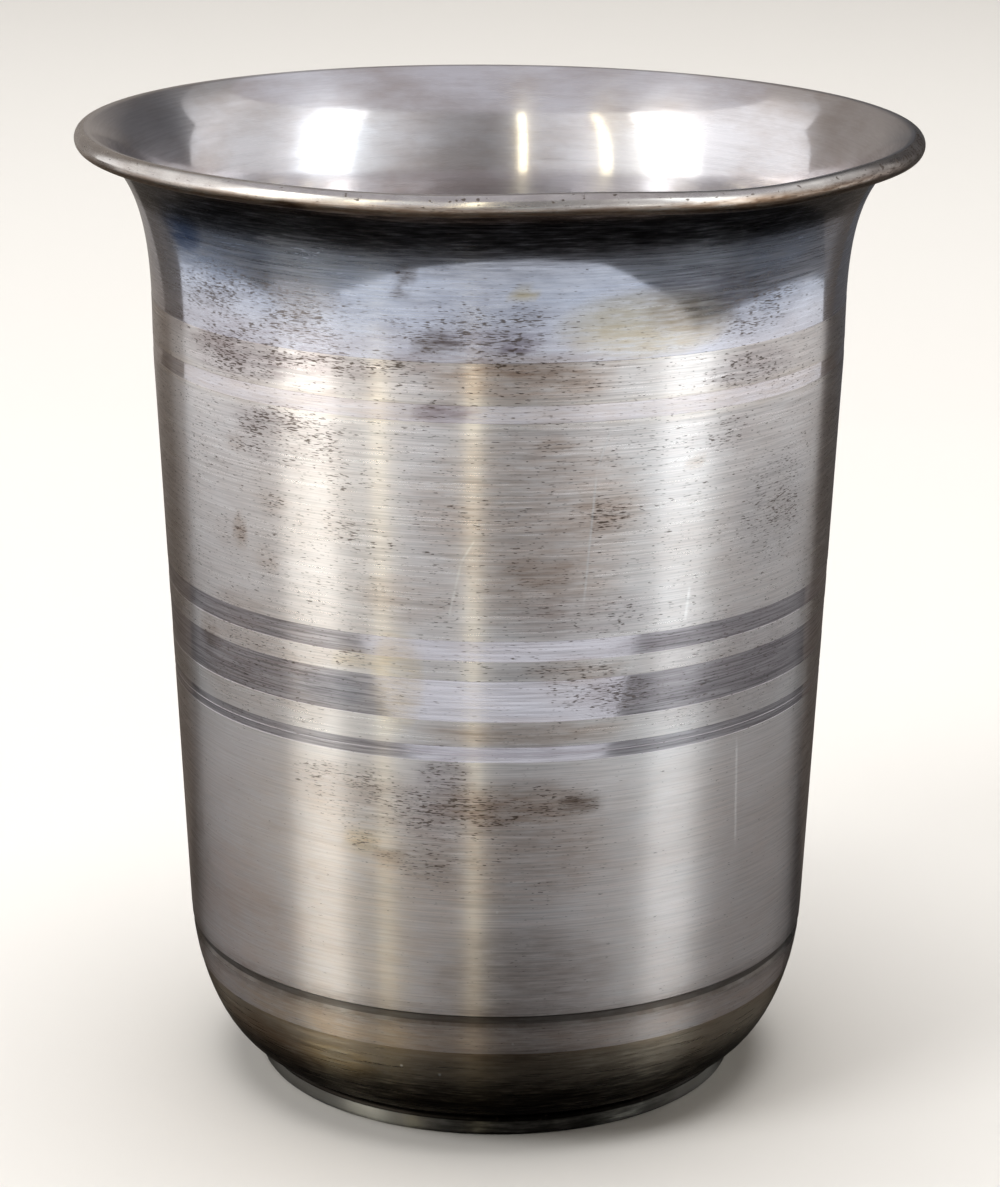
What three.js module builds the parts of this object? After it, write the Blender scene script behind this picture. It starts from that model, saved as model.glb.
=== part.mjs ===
// A small silver cup: a beaker spun from one sheet, with a slightly widening wall, a mouth that
// flares to a rolled lip, a rounded lower corner, and a low ring foot soldered under it.
// Millimetres, +Z up. The axis of the cup is Z, and the table is the plane z = 0.
import * as THREE from "three";

// ---- Driving dimensions -------------------------------------------------------------------

const HEIGHT = 88.7; // table to the top of the lip
const LIP_RADIUS = 38; // axis to the outermost point of the lip
const BEAD_RADIUS = 0.94; // half the thickness of the rolled lip
const SHEET = 0.8; // thickness of the spun sheet

const WALL_RADIUS = 31.37; // outside of the wall, where the flare begins
const TAPER = 0.0464; // radius gained for each millimetre of height along the wall
const FLARE_START = 67.4; // height at which the wall begins to flare
const FLARE_LEAD = 6.0; // how long the flare keeps the direction of the wall
const FLARE_REACH = 6.85; // how long it runs in its last direction, at the lip
const FLARE_RISE = THREE.MathUtils.degToRad(33.7); // that last direction, above level
const BEAD_JOIN = THREE.MathUtils.degToRad(145); // where the sheet meets the bead, from level

const FOOT_RADIUS = 22.46; // outside of the foot ring
const FOOT_WIDTH = 2.1; // across the section of the ring
const FOOT_HEIGHT = 2.17; // table to the underside of the cup's floor
const FOOT_EDGE = 0.45; // rounding of the ring's outer edges
const SOLDER_GAP = 0.3; // left between the ring and the floor above it

const CORNER_WIDTH = 6.5; // lower corner, measured across
const CORNER_HEIGHT = 13.55; // lower corner, measured up the wall

const GROOVE_HEIGHT = 13.9; // middle of the groove turned above the lower corner
const GROOVE_WIDTH = 1.1;
const GROOVE_DEPTH = 0.25;

// ---- How finely the round stretches are divided ----------------------------------------------

const AROUND = 72; // steps round the axis
const CORNER_STEPS = 7;
const FLARE_STEPS = 7;
const BEAD_STEPS = 10;
const EDGE_STEPS = 3;

// ---- Outline of the cup, as points (radius, height) ------------------------------------------

const point = (radius, height) => new THREE.Vector2(radius, height);

/** Outside radius of the plain wall at a height. */
const wallRadius = (height) => WALL_RADIUS + TAPER * (height - FLARE_START);

/** Outside radius of wall and lower corner: the corner is a quarter ellipse leaning with the wall. */
function skinRadius(height) {
  const below = Math.max(0, 1 - (height - FOOT_HEIGHT) / CORNER_HEIGHT); // 1 at the floor, 0 at its top
  return wallRadius(height) - CORNER_WIDTH * (1 - Math.sqrt(1 - below ** 2));
}

/** The lower corner, from the floor up to a height, in even turns of its ellipse. */
function corner(topHeight) {
  const lastTurn = Math.acos(1 - (topHeight - FOOT_HEIGHT) / CORNER_HEIGHT);
  return Array.from({ length: CORNER_STEPS + 1 }, (_, i) => {
    const turn = (lastTurn * i) / CORNER_STEPS;
    const height = FOOT_HEIGHT + CORNER_HEIGHT * (1 - Math.cos(turn));
    return point(skinRadius(height), height);
  });
}

/** The groove above its lower edge: its floor, between sides that slope at 45 degrees. */
function groove() {
  const halfFloor = GROOVE_WIDTH / 2 - GROOVE_DEPTH;
  const cut = (rise, depth) => point(skinRadius(GROOVE_HEIGHT + rise) - depth, GROOVE_HEIGHT + rise);
  return [cut(-halfFloor, GROOVE_DEPTH), cut(halfFloor, GROOVE_DEPTH), cut(GROOVE_WIDTH / 2, 0)];
}

const beadCentre = point(LIP_RADIUS - BEAD_RADIUS, HEIGHT - BEAD_RADIUS);

/** The rolled lip, from under the flare, round the outside and over the top. */
function bead() {
  const { x, y } = beadCentre;
  const roll = new THREE.EllipseCurve(x, y, BEAD_RADIUS, BEAD_RADIUS, -BEAD_JOIN, BEAD_JOIN);
  return roll.getPoints(BEAD_STEPS);
}

/** The flare, from the wall up to where the bead begins. */
function flare() {
  const lead = point(TAPER, 1).setLength(FLARE_LEAD);
  const reach = point(Math.cos(FLARE_RISE), Math.sin(FLARE_RISE)).setLength(FLARE_REACH);
  const start = point(WALL_RADIUS, FLARE_START);
  const end = bead()[0];
  const curve = new THREE.CubicBezierCurve(start, start.clone().add(lead), end.clone().sub(reach), end);
  return curve.getPoints(FLARE_STEPS);
}

/** The other face of the sheet: each point moved across it, at right angles to the outline. */
function innerFace(outline) {
  return outline.map((here, i) => {
    const before = outline[Math.max(i - 1, 0)];
    const after = outline[Math.min(i + 1, outline.length - 1)];
    const along = after.clone().sub(before).normalize();
    return here.clone().add(point(-along.y, along.x).multiplyScalar(SHEET));
  });
}

/** Whole outline of the cup, from the axis under the floor, up outside and down inside. */
function cupOutline() {
  const underFloor = point(0, FOOT_HEIGHT);
  const floor = point(0, FOOT_HEIGHT + SHEET);
  const outside = [...corner(GROOVE_HEIGHT - GROOVE_WIDTH / 2), ...groove(), ...flare()];
  const plainSheet = [...corner(FOOT_HEIGHT + CORNER_HEIGHT), ...flare()];
  return [underFloor, ...outside, ...bead().slice(1), ...innerFace(plainSheet).reverse(), floor];
}

// ---- Outline of the foot ring ------------------------------------------------------------------

/** A quarter turn that rounds an outer edge of the ring, centred at a height. */
function footEdge(height, fromAngle) {
  const middle = FOOT_RADIUS - FOOT_EDGE;
  const toAngle = fromAngle + Math.PI / 2;
  const quarter = new THREE.EllipseCurve(middle, height, FOOT_EDGE, FOOT_EDGE, fromAngle, toAngle);
  return quarter.getPoints(EDGE_STEPS);
}

/** Closed outline of the ring: flat below, with rounded outer edges. */
function footOutline() {
  const inner = FOOT_RADIUS - FOOT_WIDTH;
  const top = FOOT_HEIGHT - SOLDER_GAP;
  const lowerEdge = footEdge(FOOT_EDGE, -Math.PI / 2);
  const upperEdge = footEdge(top - FOOT_EDGE, 0);
  return [point(inner, 0), ...lowerEdge, ...upperEdge, point(inner, top), point(inner, 0)];
}

// ---- Pieces ------------------------------------------------------------------------------------

/** A named piece turned round the axis of the cup. */
function turned(name, outline, material) {
  const mesh = new THREE.Mesh(new THREE.LatheGeometry(outline, AROUND), material);
  mesh.name = name;
  mesh.rotation.x = Math.PI / 2; // the lathe turns about Y; the cup stands along Z
  return mesh;
}

const brushedSilver = new THREE.MeshStandardMaterial({ color: 0xb7b0a4, roughness: 0.35, metalness: 1 });
const footSilver = new THREE.MeshStandardMaterial({ color: 0x9d968a, roughness: 0.3, metalness: 1 });

const group = new THREE.Group();
group.add(turned("cup_body", cupOutline(), brushedSilver));
group.add(turned("foot_ring", footOutline(), footSilver));

export default group;
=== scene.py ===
# %% [markdown]
# # A small silver cup
#
# The cup is a beaker spun from one sheet of silver over a wooden former. Its mouth flares to a
# rolled lip, its wall was brushed on the lathe with polished bands left between, and a low ring
# is soldered under it. Two pieces are made here, and each takes the place of one solid of the
# model: the cup itself, and its foot ring. The sizes are in millimetres until a mesh is made.

# %% Load the model
import math
import random

import bpy
from mathutils import Matrix, Vector


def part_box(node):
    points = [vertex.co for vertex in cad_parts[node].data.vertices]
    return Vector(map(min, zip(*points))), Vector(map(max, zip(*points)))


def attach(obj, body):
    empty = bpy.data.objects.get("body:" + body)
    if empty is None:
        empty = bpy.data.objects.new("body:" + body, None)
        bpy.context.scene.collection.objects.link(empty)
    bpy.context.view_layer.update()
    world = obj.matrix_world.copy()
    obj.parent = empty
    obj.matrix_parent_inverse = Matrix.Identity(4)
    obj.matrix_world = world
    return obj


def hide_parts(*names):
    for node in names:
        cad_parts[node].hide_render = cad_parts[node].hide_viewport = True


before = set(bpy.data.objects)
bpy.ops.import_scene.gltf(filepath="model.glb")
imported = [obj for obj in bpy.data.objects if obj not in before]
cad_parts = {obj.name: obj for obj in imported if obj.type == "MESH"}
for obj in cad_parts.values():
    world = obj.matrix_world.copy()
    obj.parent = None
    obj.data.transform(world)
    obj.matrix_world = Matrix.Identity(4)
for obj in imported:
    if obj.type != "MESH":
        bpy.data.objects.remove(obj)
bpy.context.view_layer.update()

# %% [markdown]
# ## Sizes
#
# The heights and the radii that the model already holds are read from its nodes. The other sizes
# are the same named values as in the model's own source, so that the finer outline drawn here
# lies on the faceted one.

# %% Sizes of the cup and its ring, in millimetres
MM = 0.001

cup_low, cup_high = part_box("cup_body")
_, ring_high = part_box("foot_ring")

HEIGHT = cup_high.z / MM
LIP_RADIUS = cup_high.x / MM
FOOT_HEIGHT = cup_low.z / MM  # table to the underside of the cup's floor
FOOT_RADIUS = ring_high.x / MM
RING_TOP = ring_high.z / MM

SHEET = 0.8  # thickness of the silver
BEAD_RADIUS = 0.94  # half the thickness of the rolled lip
BEAD_JOIN = math.radians(145)  # where the sheet meets the bead, measured from level
LIP_SHEET = 0.96  # the silver gathers to this thickness where it is rolled over
LIP_GATHER = 4.0  # the height over which it gathers

WALL_RADIUS = 31.37  # outside of the wall, where the flare begins
TAPER = 0.0464  # radius gained for each millimetre of height
FLARE_START = 67.4  # the height where the wall begins to bend out
FLARE_LEAD = 6.0  # length of the lower handle of the flare's curve
FLARE_REACH = 6.85  # length of its upper handle
FLARE_RISE = math.radians(33.7)  # how far above level the flare ends

CORNER_WIDTH = 6.5
CORNER_HEIGHT = 13.55
FOOT_WIDTH = 2.1
FOOT_EDGE = 0.45  # radius of the ring's outer edges

print(f"the cup is {HEIGHT:.1f} mm high and {2 * LIP_RADIUS:.1f} mm across its lip")

# %% [markdown]
# ## Outline of the outside
#
# A spinner checks a wall against a cut-out card, so the outside is one function here too: a
# height goes in and the radius comes out. Below is a quarter ellipse that leans with the wall,
# then the plain wall, and above it a Bezier curve bends out to the lip. The curve gives a height
# for each step along it, so the step that fits a height is found by halving.


# %% The outside of the cup as a function of height
def wall_radius(height):
    return WALL_RADIUS + TAPER * (height - FLARE_START)


def turned_out(length, angle):
    """A vector of this length at an angle above level, in the plane of the outline."""
    return Vector((math.cos(angle), math.sin(angle))) * length


bead_centre = Vector((LIP_RADIUS - BEAD_RADIUS, HEIGHT - BEAD_RADIUS))
flare_end = bead_centre + turned_out(BEAD_RADIUS, -BEAD_JOIN)
flare_begin = Vector((WALL_RADIUS, FLARE_START))
flare_handles = (
    flare_begin + Vector((TAPER, 1)).normalized() * FLARE_LEAD,
    flare_end - turned_out(FLARE_REACH, FLARE_RISE),
)
HALVINGS = 30  # enough for the last digit of a height


def flare_point(t):
    a, b, c, d = flare_begin, *flare_handles, flare_end
    return (1 - t) ** 3 * a + 3 * (1 - t) ** 2 * t * b + 3 * (1 - t) * t**2 * c + t**3 * d


def flare_radius(height):
    low, high = 0.0, 1.0
    for _ in range(HALVINGS):
        middle = (low + high) / 2
        if flare_point(middle).y < height:
            low = middle
        else:
            high = middle
    return flare_point((low + high) / 2).x


def skin_radius(height):
    """Outside radius at any height from the floor to where the bead begins."""
    if height > FLARE_START:
        return flare_radius(height)
    below = max(0.0, 1 - (height - FOOT_HEIGHT) / CORNER_HEIGHT)
    return wall_radius(height) - CORNER_WIDTH * (1 - math.sqrt(max(0.0, 1 - below**2)))


print(f"the wall is {2 * skin_radius(40):.1f} mm across at 40 mm and leans out {TAPER:.1%}")

# %% [markdown]
# ## Zones of the wall
#
# The lathe left the outside in zones, one above the other. Most of it is brushed round with
# abrasive. Four bands and the neck were burnished bright, and the lower corner has browned. Where
# the burnisher pressed, the silver lies two hundredths of a millimetre deeper than beside it, and
# the small step catches the light as a fine line. In the lowest band a ridge as fine as a hair was
# left standing. Low on the wall runs one real groove.

# %% Zones from the foot up to the lip
ZONES = (  # (height of its top edge, finish, depth below the brushed skin)
    (10.6, "corner", 0.02),
    (13.35, "brushed", 0.0),
    (14.45, "groove", 0.25),
    (38.4, "brushed", 0.0),
    (39.0, "polished", 0.02),
    (39.12, "polished", 0.0),
    (39.8, "polished", 0.02),
    (42.1, "brushed", 0.0),
    (45.8, "polished", 0.02),
    (47.6, "brushed", 0.0),
    (49.4, "polished", 0.02),
    (68.6, "brushed", 0.0),
    (70.1, "polished", 0.02),
    (73.7, "brushed", 0.0),
    (flare_end.y, "neck", 0.02),
)


def zone_at(height):
    return next((zone for zone in ZONES if height <= zone[0]), ZONES[-1])


print(len(ZONES), "zones, of which", sum(finish == "brushed" for _, finish, _ in ZONES), "are brushed")

# %% [markdown]
# ## The whole outline
#
# The outline starts on the axis under the floor, goes up the outside, round the bead, down the
# inside and ends on the axis again. The inside is the outside moved across the sheet, without the
# turned bands, which do not show through. Each stretch between two points carries the name of its
# finish.

# %% Points of the outside and of the inside
WALL_STEP = 0.8
CORNER_STEPS = 18
FLARE_STEPS = 34
EDGE_ROOM = 0.15  # no other point lies so near to an edge of a zone


def plain_heights():
    """Heights that follow the curves of the skin: even turns below, even steps above."""
    wall_foot = FOOT_HEIGHT + CORNER_HEIGHT
    turns = [math.pi / 2 * i / CORNER_STEPS for i in range(CORNER_STEPS + 1)]
    corner = [FOOT_HEIGHT + CORNER_HEIGHT * (1 - math.cos(turn)) for turn in turns]
    count = round((FLARE_START - wall_foot) / WALL_STEP)
    wall = [wall_foot + (FLARE_START - wall_foot) * i / count for i in range(1, count)]
    flare = [flare_point(i / FLARE_STEPS).y for i in range(FLARE_STEPS + 1)]
    return corner + wall + flare


def outside():
    """The outside from the floor to the bead, with a small slope at each edge of a zone."""
    points = []
    for (top, _, depth), (_, _, depth_above) in zip(ZONES, ZONES[1:]):
        rise = abs(depth - depth_above)
        foot = top if depth_above > depth else top - rise
        points += [(foot, depth), (foot + rise, depth_above)]
    edges = [height for height, _ in points]
    for height in plain_heights():
        if min(abs(height - edge) for edge in edges) > EDGE_ROOM:
            points.append((height, zone_at(height)[2]))
    return [Vector((skin_radius(height) - depth, height)) for height, depth in sorted(points)]


def inner_face():
    """The inside from the lip down to the floor: the plain skin, moved across the sheet."""
    skin = [Vector((skin_radius(height), height)) for height in plain_heights()]
    inner = []
    for i, here in enumerate(skin):
        along = (skin[min(i + 1, len(skin) - 1)] - skin[max(i - 1, 0)]).normalized()
        gathered = max(0.0, 1 - (flare_end.y - here.y) / LIP_GATHER) ** 2
        sheet = SHEET + (LIP_SHEET - SHEET) * gathered
        inner.append(here + Vector((-along.y, along.x)) * sheet)
    return inner[::-1]


print("the outside has", len(outside()), "points and the inside", len(inner_face()))

# %% The outline of the cup, with the finish of every stretch
BEAD_STEPS = 28
FLOOR_STEPS = 12
SEAM_HEIGHT = 0.14  # how much of the flare under the bead is darkened as the seam, by tarnish and painted shade
TOUCHING = 0.001  # points as near as this are one


def spread(start, end, count):
    return [start.lerp(end, i / count) for i in range(count + 1)]


def joined(*stretches):
    """One line of points from stretches of (points, finish); a finish may depend on the height."""
    points, finishes = [stretches[0][0][0]], []
    for stretch, finish in stretches:
        for point in stretch:
            if (point - points[-1]).length < TOUCHING:
                continue
            middle = (point.y + points[-1].y) / 2
            finishes.append(finish(middle) if callable(finish) else finish)
            points.append(point)
    return points, finishes


def outside_finish(height):
    return "seam" if height > flare_end.y - SEAM_HEIGHT else zone_at(height)[1]


def cup_outline():
    outer, inner = outside(), inner_face()
    over_top = math.pi / 2 + FLARE_RISE  # here the roll has the slope of the flare again
    turns = [-BEAD_JOIN + (BEAD_JOIN + over_top) * i / BEAD_STEPS for i in range(BEAD_STEPS + 1)]
    bead = [bead_centre + turned_out(BEAD_RADIUS, turn) for turn in turns]
    top = next(i for i, turn in enumerate(turns) if turn > math.pi / 2)
    return joined(
        (spread(Vector((0, FOOT_HEIGHT)), outer[0], FLOOR_STEPS), "under"),
        (outer, outside_finish),
        (bead[:top], "lip"),
        (bead[top:], "inside"),
        (inner, "inside"),
        (spread(inner[-1], Vector((0, FOOT_HEIGHT + SHEET)), FLOOR_STEPS), "inside"),
    )


cup_points, cup_finishes = cup_outline()
print("the outline of the cup has", len(cup_points), "points")

# %% [markdown]
# ## The foot ring
#
# The foot ring is a strip of silver bent to a ring and soldered under the floor. Its outer edges
# were rounded by the file, and the solder shows as a small waist between ring and cup. The waist
# reaches a hair into the floor above it, as solder does.

# %% Outline of the foot ring
EDGE_STEPS = 6
WAIST_DEPTH = 0.42  # how far the solder lies inside the face of the ring
WAIST_EDGE = 0.05  # the bevel where ring and solder meet
SOLDER_SINK = 0.06  # how far the solder runs into the floor
SOLDER_SHORT = 0.3  # how far the solder stops short of the ring's inner face


def quarter(centre, start):
    """A quarter turn that rounds one outer edge of the ring."""
    turns = [start + math.pi / 2 * i / EDGE_STEPS for i in range(EDGE_STEPS + 1)]
    return [centre + turned_out(FOOT_EDGE, turn) for turn in turns]


def ring_outline():
    inner, middle = FOOT_RADIUS - FOOT_WIDTH, FOOT_RADIUS - FOOT_EDGE
    waist, solder_inner = FOOT_RADIUS - WAIST_DEPTH, inner + SOLDER_SHORT
    solder_top = FOOT_HEIGHT + SOLDER_SINK
    foot = Vector((inner, 0))
    face = quarter(Vector((middle, FOOT_EDGE)), -math.pi / 2)
    # the ring's rounded upper edge gets the solder's near black finish too
    solder = quarter(Vector((middle, RING_TOP - FOOT_EDGE)), 0)[:-1]
    face.append(solder[0])
    solder += [Vector((waist, RING_TOP - WAIST_EDGE)), Vector((waist - WAIST_EDGE, solder_top))]
    solder += [Vector((solder_inner, solder_top)), Vector((solder_inner, RING_TOP))]
    return joined(
        ([foot], "foot"),
        (face, "foot"),
        (solder, "solder"),
        ([Vector((inner, RING_TOP)), foot], "foot"),
    )


ring_points, ring_finishes = ring_outline()
print("the outline of the ring has", len(ring_points), "points")

# %% [markdown]
# ## Helpers
#
# Geometry and materials are both built from nodes, and one small function adds any of them. Plain
# values go to the node's inputs in their order. A name is a property of the node or else one of
# its inputs, with _ for a space. A value that is a socket is linked, and any other is set. The
# function gives back an output, which is what the next node wants. Three more helpers read a
# colour, start a material and put a thing in the scene.


# %% Adding a node, reading a colour, starting a material and placing a thing
def add(tree, kind, *inputs, out=0, **named):
    node = tree.nodes.new(kind)
    for name in [name for name in named if hasattr(node, name)]:
        setattr(node, name, named.pop(name))
    shown = [socket for socket in node.inputs if socket.enabled]
    by_name = {socket.name.replace(" ", "_"): socket for socket in reversed(shown)}
    wanted = [(shown[i], value) for i, value in enumerate(inputs)]
    wanted += [(by_name[name], value) for name, value in named.items()]
    for socket, value in wanted:
        if isinstance(value, bpy.types.NodeSocket):
            tree.links.new(value, socket)
        else:
            socket.default_value = value
    outputs = [socket for socket in node.outputs if socket.enabled]
    if not outputs:
        return node
    return next(s for s in outputs if s.name == out) if isinstance(out, str) else outputs[out]


def linear(hexcode):
    """An sRGB colour written as hex, as the linear values that Blender's sockets hold."""
    parts = [int(hexcode[i : i + 2], 16) / 255 for i in (1, 3, 5)]
    return (*[c / 12.92 if c <= 0.04045 else ((c + 0.055) / 1.055) ** 2.4 for c in parts], 1.0)


def bare_material(name):
    """A material whose tree is still empty."""
    material = bpy.data.materials.new(name)
    material.use_nodes = True
    material.node_tree.nodes.clear()
    return material


def placed(name, data):
    """An object in the scene, for a mesh, a camera or a light."""
    thing = bpy.data.objects.new(name, data)
    bpy.context.scene.collection.objects.link(thing)
    return thing


print("a middle grey is", round(linear("#808080")[0], 3), "in linear values")

# %% [markdown]
# ## Turning an outline on the axis
#
# A lathe could be imitated with the Screw modifier, but a real cup is not perfectly round: it was
# spun by hand, and its lip has been knocked. So the turning is a tree of Geometry Nodes. A flat
# grid has one column for each step round the axis and one row for each point of the outline, and
# every vertex is sent to its place: the outline gives radius and height, the column gives the
# angle, and named inputs say how far the piece is from true. Angle 0 is the front, and the angle
# grows towards +X.
#
# The finish of each face is looked up on the outline while the faces still lie in the order of
# the grid. After that the seam and the poles are closed by merging.

# %% The inputs of the turning tree
TURNING_INPUTS = {  # name: (kind of socket, usual value)
    "Steps around": ("NodeSocketInt", 320),
    "Out of round": ("NodeSocketFloat", 0.0),  # as a share of the radius
    "Lip starts at": ("NodeSocketFloat", 1.0),  # height in metres
    "Lip ends at": ("NodeSocketFloat", 2.0),
    "Lip lean": ("NodeSocketFloat", 0.0),  # drop for each metre towards +X
    "Knock depth": ("NodeSocketFloat", 0.0),  # in metres
    "Knock angle": ("NodeSocketFloat", 0.0),
    "Seed": ("NodeSocketFloat", 0.0),
}
KNOCK_WAVES = 6.0  # waves in a full turn, of which only those beside the knock show
KNOCK_FADE = 6.0  # the higher, the fewer waves show
SWELL_SCALE = 1.4  # about four soft swells in a turn
SWELL_CLIMB = 14.0  # how fast they change with the height, for each metre
CLOSED = 1e-6  # points as near as this are merged, in metres

print("the turning tree has", len(TURNING_INPUTS), "named inputs")


# %% The grid of the turning tree
def turned_grid(tree, given):
    """The grid with a finish on each face, and the outline's radius and height at each vertex."""
    outline = given["Geometry"]
    size = add(tree, "GeometryNodeAttributeDomainSize", outline).node.outputs
    points, edges = size["Point Count"], size["Edge Count"]
    columns = add(tree, "FunctionNodeIntegerMath", given["Steps around"], 1, operation="ADD")
    grid = add(tree, "GeometryNodeMeshGrid", Vertices_X=columns, Vertices_Y=points)
    index = add(tree, "GeometryNodeInputIndex")

    edge = add(tree, "FunctionNodeIntegerMath", index, edges, operation="MODULO")
    finish = add(tree, "GeometryNodeInputNamedAttribute", data_type="INT", Name="finish")
    of_edge = {"data_type": "INT", "domain": "EDGE"}
    finish = add(tree, "GeometryNodeSampleIndex", outline, finish, edge, **of_edge)
    keep = {"data_type": "INT", "domain": "FACE", "Name": "finish", "Value": finish}
    grid = add(tree, "GeometryNodeStoreNamedAttribute", grid, **keep)

    row = add(tree, "FunctionNodeIntegerMath", index, points, operation="MODULO")
    column = add(tree, "FunctionNodeIntegerMath", index, points, operation="DIVIDE")
    place = add(tree, "GeometryNodeInputPosition")
    place = add(tree, "GeometryNodeSampleIndex", outline, place, row, data_type="FLOAT_VECTOR")
    place = add(tree, "ShaderNodeSeparateXYZ", place).node.outputs
    share = add(tree, "ShaderNodeMath", column, given["Steps around"], operation="DIVIDE")
    turn = add(tree, "ShaderNodeMath", share, math.tau, operation="MULTIPLY")
    return grid, place["X"], place["Z"], turn


# %% How far a piece is from true
def out_of_round(tree, given, radius, height, turn):
    """The radius, swollen and shrunk by soft noise that is the same for both faces of the sheet."""
    sine = add(tree, "ShaderNodeMath", turn, operation="SINE")
    cosine = add(tree, "ShaderNodeMath", turn, operation="COSINE")
    level = add(tree, "ShaderNodeMath", height, SWELL_CLIMB, operation="MULTIPLY")
    place = add(tree, "ShaderNodeCombineXYZ", sine, cosine, level)
    soft = {"noise_dimensions": "4D", "Scale": SWELL_SCALE, "Detail": 1.0}
    noise = add(tree, "ShaderNodeTexNoise", Vector=place, W=given["Seed"], **soft)
    noise = add(tree, "ShaderNodeMath", noise, 0.5, operation="SUBTRACT")
    swell = add(tree, "ShaderNodeMath", noise, given["Out of round"], 1.0, operation="MULTIPLY_ADD")
    radius = add(tree, "ShaderNodeMath", radius, swell, operation="MULTIPLY")
    x = add(tree, "ShaderNodeMath", radius, sine, operation="MULTIPLY")
    away = add(tree, "ShaderNodeMath", cosine, -1.0, operation="MULTIPLY")
    return x, add(tree, "ShaderNodeMath", radius, away, operation="MULTIPLY")


def knocked(tree, given, x, height, turn):
    """The height, with a lip that leans and waves beside the place where it was knocked."""
    lip = given["Lip starts at"], given["Lip ends at"]
    at_lip = add(tree, "ShaderNodeMapRange", height, *lip, interpolation_type="SMOOTHSTEP")
    apart = add(tree, "ShaderNodeMath", turn, given["Knock angle"], operation="SUBTRACT")
    phase = add(tree, "ShaderNodeMath", apart, KNOCK_WAVES, operation="MULTIPLY")
    wave = add(tree, "ShaderNodeMath", phase, operation="SINE")
    near = add(tree, "ShaderNodeMath", apart, operation="COSINE")
    near = add(tree, "ShaderNodeMath", near, 0.0, operation="MAXIMUM")
    near = add(tree, "ShaderNodeMath", near, KNOCK_FADE, operation="POWER")
    wave = add(tree, "ShaderNodeMath", wave, near, operation="MULTIPLY")
    lean = add(tree, "ShaderNodeMath", x, given["Lip lean"], operation="MULTIPLY")
    drop = add(tree, "ShaderNodeMath", wave, given["Knock depth"], lean, operation="MULTIPLY_ADD")
    drop = add(tree, "ShaderNodeMath", drop, at_lip, operation="MULTIPLY")
    return add(tree, "ShaderNodeMath", height, drop, operation="SUBTRACT")


# %% The whole turning tree
def turning_tree(name, materials):
    """A tree that turns an outline and gives each face the material of its finish."""
    tree = bpy.data.node_groups.new(name, "GeometryNodeTree")
    tree.interface.new_socket("Geometry", in_out="INPUT", socket_type="NodeSocketGeometry")
    tree.interface.new_socket("Geometry", in_out="OUTPUT", socket_type="NodeSocketGeometry")
    for label, (kind, usual) in TURNING_INPUTS.items():
        tree.interface.new_socket(label, in_out="INPUT", socket_type=kind).default_value = usual
    given = add(tree, "NodeGroupInput").node.outputs
    grid, radius, height, turn = turned_grid(tree, given)
    x, y = out_of_round(tree, given, radius, height, turn)
    z = knocked(tree, given, x, height, turn)
    place = add(tree, "ShaderNodeCombineXYZ", x, y, z)
    mesh = add(tree, "GeometryNodeSetPosition", grid, Position=place)
    mesh = add(tree, "GeometryNodeMergeByDistance", mesh, Distance=CLOSED)
    mesh = add(tree, "GeometryNodeRealizeInstances", mesh)
    for number, material in enumerate(materials):
        finish = add(tree, "GeometryNodeInputNamedAttribute", data_type="INT", Name="finish")
        same = add(tree, "FunctionNodeCompare", finish, number, data_type="INT", operation="EQUAL")
        mesh = add(tree, "GeometryNodeSetMaterial", mesh, same, material)
    add(tree, "NodeGroupOutput", mesh)
    return tree


# %% Turning a piece
SHARP_ANGLE = math.radians(24)  # steeper edges than this stay crisp


def turn_piece(name, points, finishes, materials, **inputs):
    """A plain mesh turned from an outline in millimetres; `materials` maps finishes to materials."""
    used = list(dict.fromkeys(finishes))
    outline = bpy.data.meshes.new(name + " outline")
    steps = [(i, i + 1) for i in range(len(points) - 1)]
    outline.from_pydata([(p.x * MM, 0, p.y * MM) for p in points], steps, [])
    numbers = outline.attributes.new("finish", "INT", "EDGE")
    numbers.data.foreach_set("value", [used.index(finish) for finish in finishes])
    piece = placed(name, outline)

    turning = piece.modifiers.new("turning", "NODES")
    turning.node_group = turning_tree("turn " + name, [materials[finish] for finish in used])
    for item in turning.node_group.interface.items_tree:
        if item.in_out == "INPUT" and item.name in inputs:
            turning[item.identifier] = inputs[item.name]

    graph = bpy.context.evaluated_depsgraph_get()
    piece.data = bpy.data.meshes.new_from_object(piece.evaluated_get(graph))
    piece.modifiers.clear()
    piece.data.name = name
    piece.data.attributes.remove(piece.data.attributes["finish"])
    piece.data.shade_smooth()
    piece.data.set_sharp_from_angle(angle=SHARP_ANGLE)
    print(f"{name}: {len(piece.data.vertices)} vertices, {len(piece.data.polygons)} faces")
    return piece


# %% [markdown]
# ## Silver and its tarnish
#
# Silver is the whitest of the metals, and what gives this cup its age is the film on it. Sulphur
# in the air turns silver straw yellow, then brown and at last blue-black, first in small pits and
# where polish never reaches. Every finish below shares that film, so it is one node group, and
# each material says how strongly it shows. The pattern is drawn out round the axis, because the
# lathe left hair-fine furrows that way and tarnish starts in them.


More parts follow.
